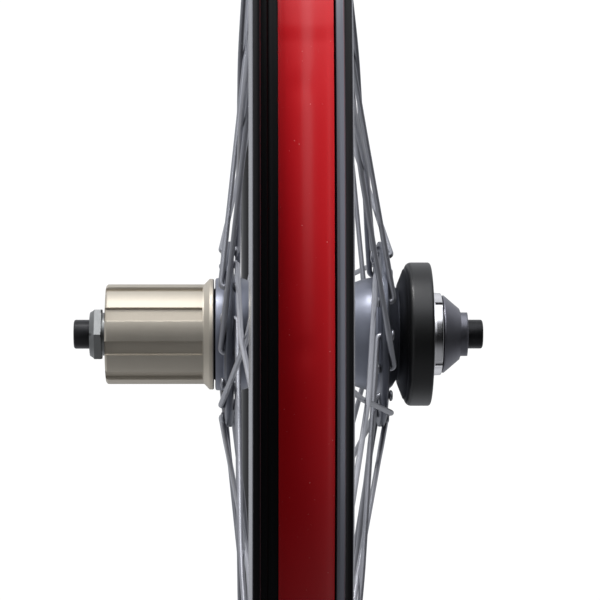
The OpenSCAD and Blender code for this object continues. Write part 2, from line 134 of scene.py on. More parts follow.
class Finish:
    """A material under construction, with the few nodes that every finish here starts from."""

    def __init__(self, name, world=False):
        if world:
            self.made = bpy.data.worlds.new(name)
        else:
            self.made = bpy.data.materials.new(name)
        self.made.use_nodes = True
        self.tree = self.made.node_tree
        if world:
            self.shader = self.tree.nodes["Background"]
        else:
            self.shader = self.tree.nodes["Principled BSDF"]

    def node(self, kind, settings=None, values=(), out=0):
        """Adds a node, sets it up, then gives its sockets their values or links."""
        made = self.tree.nodes.new("ShaderNode" + kind)
        for key, value in (settings or {}).items():
            setattr(made, key, value)
        pairs = values.items() if isinstance(values, dict) else enumerate(values)
        for key, value in pairs:
            self.give(made.inputs[key], value)
        return Signal(self, made.outputs[out])

    def give(self, socket, value):
        if isinstance(value, Signal):
            self.tree.links.new(value.socket, socket)
        elif socket.type == "RGBA" and len(value) == 3:
            socket.default_value = (*value, 1)
        else:
            socket.default_value = value

    def set(self, **values):
        """Base_Color=..., Roughness=... and so on, on the main shader."""
        for key, value in values.items():
            self.give(self.shader.inputs[key.replace("_", " ")], value)
        return self

    def place(self):
        return self.node("TexCoord", out="Object")

    def split(self, vector):
        return [self.node("SeparateXYZ", None, [vector], axis) for axis in range(3)]

    def vector(self, x, y, z):
        return self.node("CombineXYZ", None, [x, y, z])

    def grain(self, place, scale, detail=2, rough=0.5, seed=0.0):
        """Noise between 0 and 1."""
        values = {"Vector": place, "Scale": scale, "Detail": detail, "Roughness": rough, "W": seed}
        return self.node("TexNoise", {"noise_dimensions": "4D"}, values)

    def mix(self, mask, first, second):
        """The first colour where mask is 0, the second where it is 1."""
        return self.node("Mix", {"data_type": "RGBA"}, {0: mask, 6: first, 7: second}, 2)

    def bump(self, height, depth, strength=1.0):
        values = {"Strength": strength, "Distance": depth, "Height": height}
        return self.set(Normal=self.node("Bump", None, values))

    def round_place(self):
        """Radius from the axle, distance along it, and the way round in turns, in metres."""
        x, y, z = self.split(self.place())
        radius = (x * x + z * z) ** 0.5
        turn = self.node("Math", {"operation": "ARCTAN2"}, [x, z]) * (0.5 / math.pi)
        return radius, y, turn


room = Finish("room", world=True)
ahead, across, up = room.split(room.node("TexCoord", out="Generated"))
seen = room.node("LightPath", out="Is Camera Ray")
ceiling = up.over(-0.15, 0.9)
drive_wall = (-across).over(-0.3, 0.9)
back_wall = (-ahead).over(-0.1, 0.6)
near_end = ahead.over(0.7, 0.96)
dim_corner = across.over(-0.15, 0.45) * ahead.over(0.1, 0.5)
shade = (1 - near_end * 0.7) * (1 - dim_corner * 0.8)
window = (1 - abs(across).over(0.03, 0.11)) * up.over(-0.05, 0.5) * ahead.over(0.4, 0.6)
lamp_bank = up.over(0.5, 0.72) * ahead.over(-0.25, 0.1) * (1 - abs(across).over(0.4, 0.65))
ground = (-up).over(0.25, 0.9)
walls = (0.05 + ceiling * 0.4 + drive_wall * 0.3 + back_wall * 0.4) * shade
glow = walls + ground * 0.22 + window * 1.2 + lamp_bank * 1.5
room.give(room.shader.inputs["Color"], room.mix(seen, (0.93, 0.95, 1.0), (1, 1, 1)))
room.give(room.shader.inputs["Strength"], seen * 1.05 + (1 - seen) * glow)
scene.world = room.made
scene.view_settings.view_transform = "Standard"

PAPER_R = 1.7
PAPER_SIDES = 96
paper_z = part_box("rim")[0][2] - 3 * MM
paper_edge = []
for i in range(PAPER_SIDES):
    turn = i * math.tau / PAPER_SIDES
    paper_edge.append((PAPER_R * math.cos(turn), PAPER_R * math.sin(turn), paper_z))
floor_mesh = bpy.data.meshes.new("floor")
floor_mesh.from_pydata(paper_edge, [], [list(range(PAPER_SIDES))])
floor = bpy.data.objects.new("floor", floor_mesh)
scene.collection.objects.link(floor)
paper = Finish("floor_paper")
fibres = paper.grain(paper.place(), 30, 4)
paper.set(Base_Color=paper.mix(fibres * 0.4, (0.86, 0.86, 0.85), (0.8, 0.8, 0.79)), Roughness=0.9)
floor_mesh.materials.append(paper.made)

# The paper throws no light back at the wheel, and the gridded box's beam leaves no pool on it.
floor.visible_diffuse = False
floor.visible_glossy = False
outside_beam = bpy.data.collections.new("outside_beam")
outside_beam.objects.link(floor)
outside_beam.collection_objects[0].light_linking.link_state = "EXCLUDE"
grid_box.light_linking.receiver_collection = outside_beam

# ---------------------------------------------------------------- rim
# A double wall clincher rim in extruded aluminium, rolled, joined and anodised black. The brake
# tracks are turned bright after anodising, and hooks along both lips hold the tyre's beads.

BEAD_R = 311 * MM
LIP_R = BEAD_R + 5.8 * MM
FOOT_R = LIP_R - 24.5 * MM
WELL_R = BEAD_R - 2.4 * MM
HALF_W = 11.4 * MM
TRACK_Y = HALF_W + 0.7 * MM
HOLES = 16  # spokes on each side
PITCH = 360 / HOLES
HOLE_PHASE = PITCH / 4  # from the valve to the nearest spoke
WHEEL_TURN = -PITCH * 3 / 4  # how far the valve stands from the top
VALVE_BORE_R = 3.25 * MM
ACCESS_R = 4.25 * MM


def arc(centre, radius, start, end, steps=8):
    """Points on a round stretch of a (radius, y) outline, in the units of its centre."""
    turns = [math.radians(start + (end - start) * i / steps) for i in range(steps + 1)]
    return [(centre[0] + radius * math.cos(t), centre[1] + radius * math.sin(t)) for t in turns]


def polar(radius, degrees, y):
    """A point at that radius from the axle, as many degrees round from the top."""
    turn = math.radians(degrees)
    return Vector((radius * math.sin(turn), y, radius * math.cos(turn)))


def add_piece(name, points, faces):
    """A mesh with its faces turned outwards, not yet finished."""
    mesh = bpy.data.meshes.new(name)
    mesh.from_pydata([tuple(p) for p in points], [], faces)
    turned_out = bmesh.new()
    turned_out.from_mesh(mesh)
    bmesh.ops.recalc_face_normals(turned_out, faces=turned_out.faces)
    turned_out.to_mesh(mesh)
    turned_out.free()
    made = bpy.data.objects.new(name, mesh)
    scene.collection.objects.link(made)
    return made


def dress(made, finish, body, node, smooth=35):
    """Finishes a piece, smooths it up to that many degrees and lets it ride on a body."""
    made.data.materials.clear()
    made.data.materials.append(finish.made)
    made.data.shade_smooth()
    made.data.set_sharp_from_angle(angle=math.radians(smooth))
    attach(made, body)
    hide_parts(node)


def lathe(outline, steps, move=None):
    """Turns a closed (radius, y) outline about the axle. move(turn, *point) may shift a point."""
    points, faces, count = [], [], len(outline)
    for i in range(steps):
        turn = i / steps
        for point in outline:
            radius, y = move(turn, *point) if move else point
            points.append(polar(radius, turn * 360, y))
        for j in range(count):
            k = (j + 1) % count
            a, b = i * count, (i + 1) % steps * count
            faces.append((a + j, b + j, b + k, a + k))
    return points, faces


def drill(made, cutters):
    """Cuts round holes: each cutter is (start, end, radius)."""
    points, faces, sides = [], [], 32
    for start, end, radius in cutters:
        along = (end - start).to_track_quat("Z", "Y")
        base = len(points)
        for tip in (start, end):
            for i in range(sides):
                t = i * math.tau / sides
                points.append(tip + along @ Vector((radius * math.cos(t), radius * math.sin(t), 0)))
        for i in range(sides):
            j = (i + 1) % sides
            faces.append((base + i, base + j, base + sides + j, base + sides + i))
        faces.append(tuple(base + i for i in reversed(range(sides))))
        faces.append(tuple(base + sides + i for i in range(sides)))
    mesh = bpy.data.meshes.new("drill")
    mesh.from_pydata([tuple(p) for p in points], [], faces)
    bit = bpy.data.objects.new("drill", mesh)
    scene.collection.objects.link(bit)
    cut = made.modifiers.new("drilled", "BOOLEAN")
    cut.operation = "DIFFERENCE"
    cut.object = bit
    cut.solver = "EXACT"
    depsgraph = bpy.context.evaluated_depsgraph_get()
    drilled = bpy.data.meshes.new_from_object(made.evaluated_get(depsgraph))
    made.modifiers.clear()
    old = made.data
    made.data = drilled
    drilled.name = made.name
    bpy.data.meshes.remove(old)
    bpy.data.objects.remove(bit)
    bpy.data.meshes.remove(mesh)


def mirrored(outline):
    """The other side's half of an outline, in the order that closes it."""
    return [(radius, -y) for radius, y in reversed(outline)]


def rim_outline():
    """From the middle of the tyre well, over the bead shelf, hook and brake track to the foot."""
    half = [(WELL_R + 0.4 * (y / 7.3) ** 2 * MM, y * MM) for y in (0.6, 1.8, 3, 4.2, 5.4, 6.4, 7)]
    half += arc((WELL_R + 0.85 * MM, HALF_W - 4.1 * MM), 0.5 * MM, 170, 95, 5)
    half += [(BEAD_R - 0.3 * MM, HALF_W - 3.6 * MM), (BEAD_R - 0.12 * MM, HALF_W - 3.45 * MM)]
    for i in range(6):
        t = i / 6
        half.append((BEAD_R + (-0.08 + 0.46 * t**1.3) * MM, HALF_W - (3.3 - 1.5 * t) * MM))
    half += arc((BEAD_R + 0.75 * MM, HALF_W - 1.9 * MM), 0.4 * MM, 170, 90, 5)
    half += [(BEAD_R + 3.1 * MM, HALF_W - 1.5 * MM)]
    half += arc((LIP_R - 1 * MM, HALF_W - 1.05 * MM), 0.95 * MM, 215, 355, 12)
    half += arc((LIP_R - 0.4 * MM, HALF_W - 0.4 * MM), 0.4 * MM, 0, 85, 6)
    half += [(LIP_R - 10.9 * MM, TRACK_Y - 0.02 * MM), (LIP_R - 11.05 * MM, TRACK_Y - 0.06 * MM)]
    half += [(LIP_R - 11.45 * MM, TRACK_Y - 0.29 * MM)]
    for i in range(17):
        t = i / 17
        radius = (1 - t) * (LIP_R - 11.6 * MM) + t * (FOOT_R + 0.85 * MM)
        half.append((radius, (1 - t**1.7) * (TRACK_Y - 0.3 * MM) + t**1.7 * 4.73 * MM))
    half += arc((FOOT_R + 1.5 * MM, 3.6 * MM), 1.3 * MM, 120, 180, 6)
    half += [(FOOT_R + 0.05 * MM, 1.5 * MM)]
    return half + mirrored(half)


anodised = Finish("black_anodised_rim")
radius, along, turn = anodised.round_place()
side_y = abs(along)
lip_gate = radius.over(LIP_R - 11.1 * MM, LIP_R - 10.95 * MM)
face_gate = side_y.over(HALF_W - 0.28 * MM, HALF_W - 0.12 * MM)
track = lip_gate * face_gate
turned_marks = anodised.grain(anodised.vector(radius * 9000, side_y * 2500, turn * 6), 1, 3, 0.65)
brushed = anodised.grain(anodised.vector(radius * 2600, along * 2600, turn * 40), 1, 3, 0.6)
smudge = anodised.grain(anodised.place(), 60, 3)
scrapes = anodised.vector(radius * 1500, along * 1500, turn * 900)
rubbed = anodised.grain(scrapes, 1, 4, 0.7).over(0.62, 0.75)
shelf_start = radius.over(BEAD_R - 0.4 * MM, BEAD_R - 0.1 * MM)
shelf = shelf_start * radius.over(BEAD_R + 0.75 * MM, BEAD_R + 0.55 * MM)
# Painted sheen: the bead shelf on the +Y side only is painted a lighter, more metallic grey, standing in
# for the light that shelf reflects.
painted_shelf_sheen = shelf * along.over(HALF_W - 3.6 * MM, HALF_W - 3.2 * MM)
# Painted highlight: a thin lighter, more metallic line along the inner rounding of both hooks, just under
# the lips.
hook_inside = side_y.over(HALF_W - 1.72 * MM, HALF_W - 1.95 * MM)
painted_hook_highlight = radius.over(LIP_R - 2.4 * MM, LIP_R - 1.9 * MM) * hook_inside
black = anodised.mix(brushed, (0.004, 0.004, 0.0045), (0.009, 0.009, 0.01))
bright = anodised.mix(turned_marks, (0.21, 0.213, 0.24), (0.34, 0.343, 0.37))
# The black anodising with the painted shelf sheen and the painted hook highlight mixed into its colour and
# metallic value.
black_with_painted_sheen = anodised.mix(painted_shelf_sheen * 0.9 + painted_hook_highlight * 0.6, black, (0.2, 0.205, 0.235))
metallic_with_painted_sheen = 0.04 + painted_shelf_sheen * 0.9 + painted_hook_highlight * 0.7
satin = 0.2 + brushed * 0.1 + smudge * 0.1 + rubbed * 0.12
anodised.set(
    Base_Color=anodised.mix(track, black_with_painted_sheen, bright),
    Metallic=track * 0.95 + (1 - track) * metallic_with_painted_sheen,
    Roughness=track * (0.12 + turned_marks * 0.22) + (1 - track) * satin,
    Specular_IOR_Level=0.22,
)
anodised.bump(track * turned_marks + brushed * 0.18, 0.00003, 0.5)

rim = add_piece("rim_shell", *lathe(rim_outline(), 720))
bores = [(polar(FOOT_R - 2 * MM, WHEEL_TURN, 0), polar(BEAD_R, WHEEL_TURN, 0), VALVE_BORE_R)]
for i in range(2 * HOLES):
    angle = HOLE_PHASE + i * PITCH / 2 + WHEEL_TURN
    bores.append((polar(WELL_R - 0.8 * MM, angle, 0), polar(WELL_R + 2 * MM, angle, 0), ACCESS_R))
drill(rim, bores)
dress(rim, anodised, "wheel", "rim")

# ---------------------------------------------------------------- rim tape
# A glossy red plastic strip stretched round the tyre well so that the tube can't press into the
# nipple holes. It lies a little off the middle and dips slightly over each hole.

TAPE_HALF = 6.4 * MM
TAPE_OFF = 0.9 * MM
TAPE_T = 0.6 * MM
TAPE_VALVE_R = 3.55 * MM
LAP_START, LAP_END = 66, 76.4


def tape_outline():
    edge = [(WELL_R + 0.05 * MM, TAPE_HALF - 0.15 * MM), (WELL_R + 0.2 * MM, TAPE_HALF)]
    edge += arc((WELL_R + 0.4 * MM, TAPE_HALF - 0.2 * MM), 0.2 * MM, 0, 80, 5)
    under = [(WELL_R + 0.05 * MM, y * MM) for y in (0, 1.5, 3, 4.5, 5.6)]
    over = [(WELL_R + TAPE_T, y * MM) for y in (5.8, 5.2, 4.4, 3.5, 2.6, 1.7, 0.8)]
    half = under + edge + over
    return half + [(radius, -y) for radius, y in reversed(half[1:])]


def tape_lies(turn, radius, y):
    """Cups the strip, sinks it over the holes, lets it wander and doubles it at the lap."""
    angle = turn * 360
    slow = 0.22 * math.sin(math.radians(angle * 3 + 200))
    wander = slow + 0.12 * math.sin(math.radians(angle * 7 + 40))
    edge = 0.06 * noise.noise((turn * 90, 3 if y > 0 else -3, 0)) * abs(y / TAPE_HALF) ** 3
    outer = radius > WELL_R + TAPE_T / 2
    nearest = (angle - HOLE_PHASE - WHEEL_TURN + PITCH / 4) % (PITCH / 2) - PITCH / 4
    away = math.hypot(math.radians(nearest) * WELL_R, y + TAPE_OFF) / (ACCESS_R + 0.15 * MM)
    dip = 0.1 * max(0.0, 1 - away * away) ** 2 if outer else 0
    aside = abs(y / TAPE_HALF)
    cup = 0.8 * aside**2 + 0.2 * aside**8 if outer else 0.33 * aside**2
    lap = 0.12 if outer and LAP_START < angle < LAP_END else 0
    return radius + (cup + lap - dip) * MM, y + TAPE_OFF + (wander + edge) * MM


red_film = Finish("red_tape_film")
_, along, turn = red_film.round_place()
streaks = red_film.grain(red_film.vector(along * 900, turn * 60, 0), 1, 4, 0.55)
cloudy = red_film.grain(red_film.place(), 45, 3, 0.5)
flecks = red_film.grain(red_film.place(), 2600, 1, 0.4).over(0.77, 0.8)
rubs = red_film.vector(along * 3500, turn * 170, 0)
scuff = red_film.grain(rubs, 1, 3, 0.7, 4.0).over(0.66, 0.74)
depth = streaks * 0.25 + cloudy * 0.75
pigment = red_film.mix(depth, (0.31, 0.0022, 0.0045), (0.37, 0.004, 0.008))
red_film.set(
    Base_Color=red_film.mix(flecks * 0.7, pigment, (0.8, 0.45, 0.42)),
    Roughness=0.17 + streaks * 0.04 + scuff * 0.1 + cloudy * 0.05,
    Specular_IOR_Level=0.5,
    Coat_Weight=0.25,
    Coat_Roughness=0.12,
)
red_film.bump(streaks * 0.15 + cloudy * 0.3 + flecks * 2 + scuff * 0.3, 0.00002, 0.4)
tape = add_piece("tape_strip", *lathe(tape_outline(), 1152, tape_lies))
valve_from, valve_to = (polar(WELL_R + reach * MM, WHEEL_TURN, 0) for reach in (-3, 3))
drill(tape, [(valve_from, valve_to, TAPE_VALVE_R)])
dress(tape, red_film, "wheel", "rim_tape")

# ---------------------------------------------------------------- spokes
# Butted steel spokes, blacked, each with a cold-forged head and an elbow that hooks through its
# flange. They cross three times, and at the last crossing the outside one goes behind.

PCD_R = 29 * MM
FLANGE_T = 3.2 * MM
FLANGE_Y = (-17 * MM, 35.3 * MM)
OUTWARD = (-1, 1)
LACING = PITCH * 3
SPOKE_R = 1 * MM
SPOKE_MID_R = 0.9 * MM
NIPPLE_SEAT_R = FOOT_R + 2.85 * MM
cross_half = PITCH * 5 / 2
near_hub = PCD_R * math.sin(math.radians(cross_half))
near_rim = NIPPLE_SEAT_R * math.sin(math.radians(LACING - cross_half))
CROSS_AT = near_hub / (near_hub + near_rim)


def hub_angle(side, i):
    """Where spoke i's flange hole is, round the hub."""
    return HOLE_PHASE + PITCH * (i + 1) + side * PITCH / 2 + WHEEL_TURN


def spoke_line(side, i):
    """The elbow, the bend at the last crossing and the nipple's seat."""
    outside = i % 2 == 0
    lean = -1 if outside else 1
    gap = 0.1 * MM + (0.0115 * abs(FLANGE_Y[side]) if outside else 0)
    run_y = FLANGE_Y[side] - lean * OUTWARD[side] * (FLANGE_T / 2 + SPOKE_R + gap)
    elbow = polar(PCD_R, hub_angle(side, i), run_y)
    end = polar(NIPPLE_SEAT_R, hub_angle(side, i) + lean * LACING, OUTWARD[side] * MM)
    kink = elbow.lerp(end, CROSS_AT)
    middle = (1 - CROSS_AT) * FLANGE_Y[side] + CROSS_AT * OUTWARD[side] * MM
    kink.y = middle + OUTWARD[side] * lean * (SPOKE_MID_R + 0.06 * MM)
    return elbow, kink, end


def rounded(corner, before, after, reach, steps=7):
    """A smooth bend at a corner, begun and ended at that reach from it."""
    start = corner + (before - corner).normalized() * reach
    end = corner + (after - corner).normalized() * reach
    shares = [i / steps for i in range(steps + 1)]
    return [start.lerp(corner, t).lerp(corner.lerp(end, t), t) for t in shares]


def sweep(path, radii, sides):
    """A bar of changing thickness along a path, with closed ends."""
    points, faces = [], []
    across = (path[1] - path[0]).orthogonal().normalized()
    for i, spot in enumerate(path):
        along = (path[min(i + 1, len(path) - 1)] - path[max(i - 1, 0)]).normalized()
        across = (across - along * across.dot(along)).normalized()
        other = along.cross(across)
        for k in range(sides):
            t = k * math.tau / sides
            radius = radii[i](t) if callable(radii[i]) else radii[i]
            points.append(spot + (across * math.cos(t) + other * math.sin(t)) * radius)
    for i in range(len(path) - 1):
        for k in range(sides):
            a, b = i * sides + k, i * sides + (k + 1) % sides
            faces.append((a, b, b + sides, a + sides))
    faces.append(tuple(reversed(range(sides))))
    faces.append(tuple(range(len(points) - sides, len(points))))
    return points, faces


def joined(parts):
    """Several bodies as the points and faces of one mesh."""
    points, faces = [], []
    for more_points, more_faces in parts:
        base = len(points)
        points += more_points
        faces += [tuple(base + k for k in face) for face in more_faces]
    return points, faces


def spoke_body(side, i):
    """The head, the elbow, the thinner middle and the thicker threaded end."""
    elbow, kink, end = spoke_line(side, i)
    inward = 1 if FLANGE_Y[side] > elbow.y else -1
    seat = Vector((elbow.x, FLANGE_Y[side] + inward * (FLANGE_T / 2 + 0.05 * MM), elbow.z))
    head = Vector((0, inward * MM, 0))
    path = [seat + head * reach for reach in (1.3, 1.25, 1.05, 0.7, 0.35, 0.1, 0)]
    radii = [radius * MM for radius in (0.7, 1.2, 1.65, 1.88, 1.82, 1.45, 1.0)]
    bend = rounded(elbow, seat, kink, 1.9 * MM)
    path += bend
    radii += [SPOKE_R] * len(bend)
    run = kink - elbow
    for share, radius in ((0.1, SPOKE_R), (0.22, SPOKE_R), (0.3, SPOKE_MID_R), (0.6, SPOKE_MID_R)):
        path.append(elbow + run * share)
        radii.append(radius)
    turn = rounded(kink, elbow, end, 9 * MM)
    path += turn
    radii += [SPOKE_MID_R] * len(turn)
    for share, radius in ((0.5, SPOKE_MID_R), (0.93, SPOKE_MID_R), (0.945, SPOKE_R), (1, SPOKE_R)):
        path.append(kink.lerp(end, share))
        radii.append(radius)
    return sweep(path, radii, 14)


blacked = Finish("blacked_spoke_steel")
place = blacked.place()
drawn = blacked.grain(place, 1400, 4, 0.7)
patches = blacked.grain(place, 70, 3, 0.6, 2.0)
worn = blacked.grain(place, 420, 3, 0.6, 7.0).over(0.6, 0.72)
oxide = blacked.mix(patches, (0.29, 0.295, 0.32), (0.43, 0.435, 0.465))
near_flange = blacked.round_place()[0].over(42 * MM, 30 * MM)
blacked.set(
    Base_Color=blacked.mix(worn * 0.4 + near_flange * 0.15, oxide, (0.38, 0.39, 0.41)),
    Metallic=0.85,
    Roughness=0.27 + drawn * 0.12 + patches * 0.1,
)
blacked.bump(drawn + worn * 0.5, 0.00002, 0.4)
SPOKE_SETS = (
    ("drive_outside_spokes", 0, 0),
    ("drive_inside_spokes", 0, 1),
    ("far_outside_spokes", 1, 0),
    ("far_inside_spokes", 1, 1),
)
for node, side, first in SPOKE_SETS:
    bars = joined([spoke_body(side, i) for i in range(first, HOLES, 2)])
    spokes = add_piece(node.replace("spokes", "spoke_set"), *bars)
    dress(spokes, blacked, "wheel", node, 50)

# ---------------------------------------------------------------- nipples
# Brass nuts under a black plating, one on each spoke's thread. A round head sits in the rim, and
# a square foot takes the spoke key, whose corners rub the plating bright.


HEAD = ((-2.4, 2.2), (-2.35, 2.75), (-2.1, 3.0), (-0.75, 3.0), (-0.6, 2.95), (0.1, 2.05))
BARREL = ((0.3, 2.0), (5.4, 2.0), (5.85, 1.9))
KEY_SQUARE = ((5.95, 1.6, 1.95), (6.2, 1.65, 2.1), (10.1, 1.65, 2.1), (10.4, 1.55, 1.85), (10.5, 1.3, 1.4))


def squared(half, most):
    """A square section that many units across its half, with its corners turned off at most."""
    return lambda t: min(most, half / max(abs(math.cos(t)), abs(math.sin(t))))


def nipple_body(side, i):
    """Rings of (reach down the spoke, radius), in millimetres, round at first and then square."""
    _, kink, end = spoke_line(side, i)
    down = (kink - end).normalized()
    path = [end + down * reach * MM for reach, *_ in HEAD + BARREL + KEY_SQUARE]
    radii = [radius * MM for _, radius in HEAD + BARREL]
    radii += [squared(half * MM, most * MM) for _, half, most in KEY_SQUARE]
    return sweep(path, radii, 32)


plated = Finish("black_plated_brass")
place = plated.place()
edge = plated.node("NewGeometry", out="Pointiness").over(0.52, 0.58)
tarnish = plated.grain(place, 500, 3, 0.6)
rub = plated.grain(place, 1600, 2, 0.6, 3.0).over(0.35, 0.6) * edge
skin = plated.mix(tarnish, (0.02, 0.021, 0.024), (0.055, 0.056, 0.06))
plated.set(
    Base_Color=plated.mix(rub * 0.8, skin, (0.5, 0.38, 0.17)),
    Metallic=0.8,
    Roughness=0.3 + tarnish * 0.2,
)
plated.bump(tarnish, 0.00002, 0.3)
for node, side in (("drive_nipples", 0), ("far_nipples", 1)):
    nuts = joined([nipple_body(side, i) for i in range(HOLES)])
    nipples = add_piece(node.replace("nipples", "nipple_set"), *nuts)
    dress(nipples, plated, "wheel", node, 40)

# ---------------------------------------------------------------- hub shell
# Cold-forged and turned aluminium with two drilled flanges, anodised dark. It holds the two big
# bearings, the ratchet ring and, on the far side, the neck that carries the sensor cap.

FLANGE_R = 32 * MM
ROOT_R = 19.6 * MM
WAIST_R = 16.5 * MM
NECK_R = 15.9 * MM
BEARING_SEAT_R = 14 * MM
BEARING_STOP_R = 12.6 * MM
HOLLOW_R = 13.4 * MM
DRIVE_SEAT_Y = -1.5 * MM
FAR_SEAT_Y = 36 * MM
NOSE_END = -10 * MM
RING_SEAT_R = 16.5 * MM
SHELL_END = -21.8 * MM
NECK_END = 43 * MM


def slope(radius, to_radius, y, to_y, steps=14):
    """A soft slope from one radius to another."""
    points = []
    for i in range(steps + 1):
        t = i / steps
        points.append((radius + (to_radius - radius) * t * t * (3 - 2 * t), y + (to_y - y) * t))
    return points


def flange_edge(y):
    """The flange's tapered rim, from one face to the other."""
    corner = ((1.9, 0.01), (1.2, 0.22), (0.35, 0.57), (0.1, 0.72), (0, 0.95))
    half = [(FLANGE_R - inset * MM, FLANGE_T / 2 - drop * MM) for inset, drop in corner]
    return [(r, y - d) for r, d in half] + [(r, y + d) for r, d in reversed(half)]


def shell_outline():
    drive_out, drive_in = FLANGE_Y[0] - FLANGE_T / 2, FLANGE_Y[0] + FLANGE_T / 2
    far_in, far_out = FLANGE_Y[1] - FLANGE_T / 2, FLANGE_Y[1] + FLANGE_T / 2
    outline = [(ROOT_R - 0.9 * MM, SHELL_END), (ROOT_R - 0.35 * MM, SHELL_END + 0.2 * MM)]
    outline += [(ROOT_R - 0.2 * MM, SHELL_END + 0.75 * MM), (ROOT_R - 0.2 * MM, drive_out - 0.4 * MM)]
    outline += [(ROOT_R + 0.2 * MM, drive_out)]
    outline += flange_edge(FLANGE_Y[0])
    outline += [(ROOT_R + 1.3 * MM, drive_in), (ROOT_R + 0.3 * MM, drive_in + 0.3 * MM)]
    outline += slope(ROOT_R, WAIST_R, drive_in + 0.8 * MM, -4 * MM)
    outline += slope(WAIST_R, ROOT_R, 20 * MM, far_in - 0.8 * MM)
    outline += [(ROOT_R + 0.3 * MM, far_in - 0.3 * MM), (ROOT_R + 1.3 * MM, far_in)]
    outline += flange_edge(FLANGE_Y[1])
    outline += [(ROOT_R + 0.9 * MM, far_out), (ROOT_R + 0.3 * MM, far_out + 0.25 * MM)]
    outline += [(ROOT_R - 1.6 * MM, far_out + 2.3 * MM), (NECK_R + 0.15 * MM, 40.4 * MM)]
    outline += [(NECK_R, 40.7 * MM), (NECK_R, NECK_END - 0.2 * MM), (NECK_R - 0.2 * MM, NECK_END)]
    outline += [(BEARING_SEAT_R + 0.2 * MM, NECK_END), (BEARING_SEAT_R, NECK_END - 0.2 * MM)]
    outline += [(BEARING_SEAT_R, FAR_SEAT_Y), (BEARING_STOP_R, FAR_SEAT_Y)]
    outline += [(BEARING_STOP_R, 34 * MM), (HOLLOW_R, 33 * MM), (HOLLOW_R, 2 * MM)]
    outline += [(BEARING_STOP_R, 0.5 * MM), (BEARING_STOP_R, DRIVE_SEAT_Y)]
    outline += [(BEARING_SEAT_R, DRIVE_SEAT_Y), (BEARING_SEAT_R, NOSE_END + 0.5 * MM)]
    outline += [(RING_SEAT_R, NOSE_END + 0.5 * MM), (RING_SEAT_R, SHELL_END + 0.3 * MM)]
    return outline + [(RING_SEAT_R + 0.3 * MM, SHELL_END)]


dark_shell = Finish("dark_anodised_shell")
radius, along, turn = dark_shell.round_place()
turning = dark_shell.vector(along * 5000, radius * 5000, turn * 3)
lathe_lines = dark_shell.grain(turning, 1, 2, 0.6)
blasted = dark_shell.grain(dark_shell.place(), 900, 3, 0.6)
dusty = dark_shell.grain(dark_shell.place(), 90, 4, 0.6)
flange_face = radius.over(27 * MM, 30 * MM)
shell_black = dark_shell.mix(dusty, (0.19, 0.2, 0.24), (0.27, 0.285, 0.34))
dark_shell.set(
    Base_Color=dark_shell.mix(flange_face * 0.6, shell_black, (0.09, 0.095, 0.11)),
    Metallic=0.75,
    Roughness=0.26 + lathe_lines * 0.08 + blasted * 0.08 + dusty * 0.06,
)
dark_shell.bump(lathe_lines + blasted * 0.5, 0.00002, 0.35)
shell = add_piece("shell_forging", *lathe(shell_outline(), 256))
through = Vector((0, FLANGE_T, 0))
holes = []
for side in (0, 1):
    for i in range(HOLES):
        spot = polar(PCD_R, hub_angle(side, i), FLANGE_Y[side])
        holes.append((spot - through, spot + through, SPOKE_R + 0.25 * MM))
drill(shell, holes)
dress(shell, dark_shell, "wheel", "hub_shell")

# ---------------------------------------------------------------- freehub
# The splined sleeve that carries the sprockets, turned and broached from aluminium and anodised a
# pale champagne. Its outer end holds a bearing behind a snap ring, its nose holds the pawls.

SPLINE_R = 17.2 * MM
SLEEVE_BORE_R = 12 * MM
BEARING_MOUTH_R = 15.2 * MM
NOSE_R = 13.2 * MM
NOSE_BORE_R = 8.9 * MM
FREEHUB_OUT = -59.3 * MM
SHOULDER = -25.5 * MM
FREEHUB_IN = -22.3 * MM
GROOVES = 9
GROOVE_DEEP = 1.15 * MM
FIRST_GROOVE = 25.8  # degrees round from the top
NARROW_HALF, WIDE_HALF = 1.6 * MM, 2.4 * MM  # one groove is narrow, so sprockets go on one way


def cut_grooves(turn, radius, y, share):
    """Sinks a point of the outline into its groove, by that share of the groove's depth."""
    degrees = turn * 360
    nearest = round((degrees - FIRST_GROOVE) * GROOVES / 360)
    half = NARROW_HALF if nearest % GROOVES == 0 else WIDE_HALF
    away = math.radians(degrees - FIRST_GROOVE - nearest * 360 / GROOVES)
    flat = max(0, SPLINE_R - (SPLINE_R - GROOVE_DEEP) / math.cos(away))
    inside = (half - abs(math.sin(away)) * SPLINE_R) / (0.12 * MM) + 0.5
    return radius - flat * min(1, max(0, inside)) * share, y


